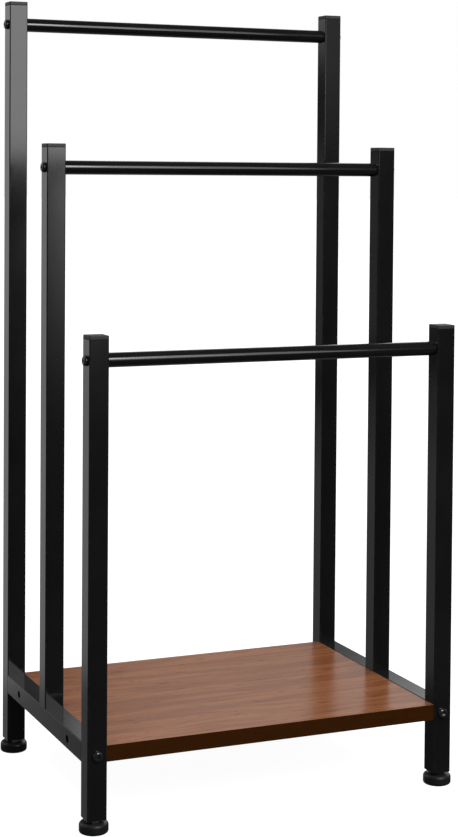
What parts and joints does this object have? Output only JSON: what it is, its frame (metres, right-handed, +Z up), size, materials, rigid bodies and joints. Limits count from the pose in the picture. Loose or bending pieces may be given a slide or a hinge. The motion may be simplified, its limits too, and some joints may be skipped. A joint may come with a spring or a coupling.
{
  "type": "freestanding towel rack",
  "caption": "Freestanding tiered towel rack of black square tube with round towel bars, a low wooden shelf and levelling feet.",
  "frame": {"origin": "on the floor, below the middle of the rack's bounding box", "axes": "+X to the right, -Y towards the front and lowest bar, +Z up"},
  "size_m": [0.409, 0.299, 0.822],
  "materials": {
    "black_tube": "black powder coat, satin",
    "cap_plastic": "black moulded plastic, satin",
    "edge_band": "dark brown edge band, satin",
    "shelf_wood": "brown wood grain laminate, semi-gloss",
    "black_bolt": "black oxide, semi-gloss",
    "zinc_steel": "zinc plated",
    "plug_plastic": "black moulded plastic",
    "foot_plastic": "black moulded plastic, matte"
  },
  "bodies": {
    "rack": {"bar_bolts": "black_bolt", "bar_inserts": "zinc_steel", "cap_front_left": "cap_plastic", "cap_front_right": "cap_plastic", "cap_middle_left": "cap_plastic", "cap_middle_right": "cap_plastic", "cap_rear_left": "cap_plastic", "cap_rear_right": "cap_plastic", "edge_band_front": "edge_band", "edge_band_left": "edge_band", "edge_band_rear": "edge_band", "edge_band_right": "edge_band", "foot_bushes": "zinc_steel", "foot_plugs": "plug_plastic", "middle_post_bolts": "black_bolt", "middle_post_inserts": "zinc_steel", "post_front_left": "black_tube", "post_front_right": "black_tube", "post_middle_left": "black_tube", "post_middle_right": "black_tube", "post_rear_left": "black_tube", "post_rear_right": "black_tube", "rail_bolts": "black_bolt", "rail_inserts": "zinc_steel", "rail_left": "black_tube", "rail_right": "black_tube", "shelf_board": "shelf_wood", "shelf_screws": "zinc_steel", "towel_bar_front": "black_tube", "towel_bar_middle": "black_tube", "towel_bar_rear": "black_tube"},
    "pad_rear_left": {"foot_pad_rear_left": "foot_plastic"},
    "stem_rear_left": {"foot_stem_rear_left": "black_bolt"},
    "pad_rear_right": {"foot_pad_rear_right": "foot_plastic"},
    "stem_rear_right": {"foot_stem_rear_right": "black_bolt"},
    "pad_front_left": {"foot_pad_front_left": "foot_plastic"},
    "stem_front_left": {"foot_stem_front_left": "black_bolt"},
    "pad_front_right": {"foot_pad_front_right": "foot_plastic"},
    "stem_front_right": {"foot_stem_front_right": "black_bolt"}
  },
  "joints": [
    {"name": "foot_travel_rear_left", "type": "slide", "parent": "rack", "child": "pad_rear_left", "axis": [0, 0, -1], "range_m": [-0.0008, 0.01]},
    {"name": "foot_turn_rear_left", "type": "hinge", "parent": "pad_rear_left", "child": "stem_rear_left", "pos_m": [-0.19, 0.135, 0.011], "axis": [0, 0, -1], "range_deg": [-232, 2882]},
    {"name": "foot_travel_rear_right", "type": "slide", "parent": "rack", "child": "pad_rear_right", "axis": [0, 0, -1], "range_m": [-0.0008, 0.01]},
    {"name": "foot_turn_rear_right", "type": "hinge", "parent": "pad_rear_right", "child": "stem_rear_right", "pos_m": [0.19, 0.135, 0.011], "axis": [0, 0, -1], "range_deg": [-232, 2882]},
    {"name": "foot_travel_front_left", "type": "slide", "parent": "rack", "child": "pad_front_left", "axis": [0, 0, -1], "range_m": [-0.0008, 0.01]},
    {"name": "foot_turn_front_left", "type": "hinge", "parent": "pad_front_left", "child": "stem_front_left", "pos_m": [-0.19, -0.135, 0.011], "axis": [0, 0, -1], "range_deg": [-232, 2882]},
    {"name": "foot_travel_front_right", "type": "slide", "parent": "rack", "child": "pad_front_right", "axis": [0, 0, -1], "range_m": [-0.0008, 0.01]},
    {"name": "foot_turn_front_right", "type": "hinge", "parent": "pad_front_right", "child": "stem_front_right", "pos_m": [0.19, -0.135, 0.011], "axis": [0, 0, -1], "range_deg": [-232, 2882]}
  ],
  "couplings": [
    {"joint": "foot_turn_rear_left", "follows": "foot_travel_rear_left", "rad_per_m": 5026.5},
    {"joint": "foot_turn_rear_right", "follows": "foot_travel_rear_right", "rad_per_m": 5026.5},
    {"joint": "foot_turn_front_left", "follows": "foot_travel_front_left", "rad_per_m": 5026.5},
    {"joint": "foot_turn_front_right", "follows": "foot_travel_front_right", "rad_per_m": 5026.5}
  ]
}
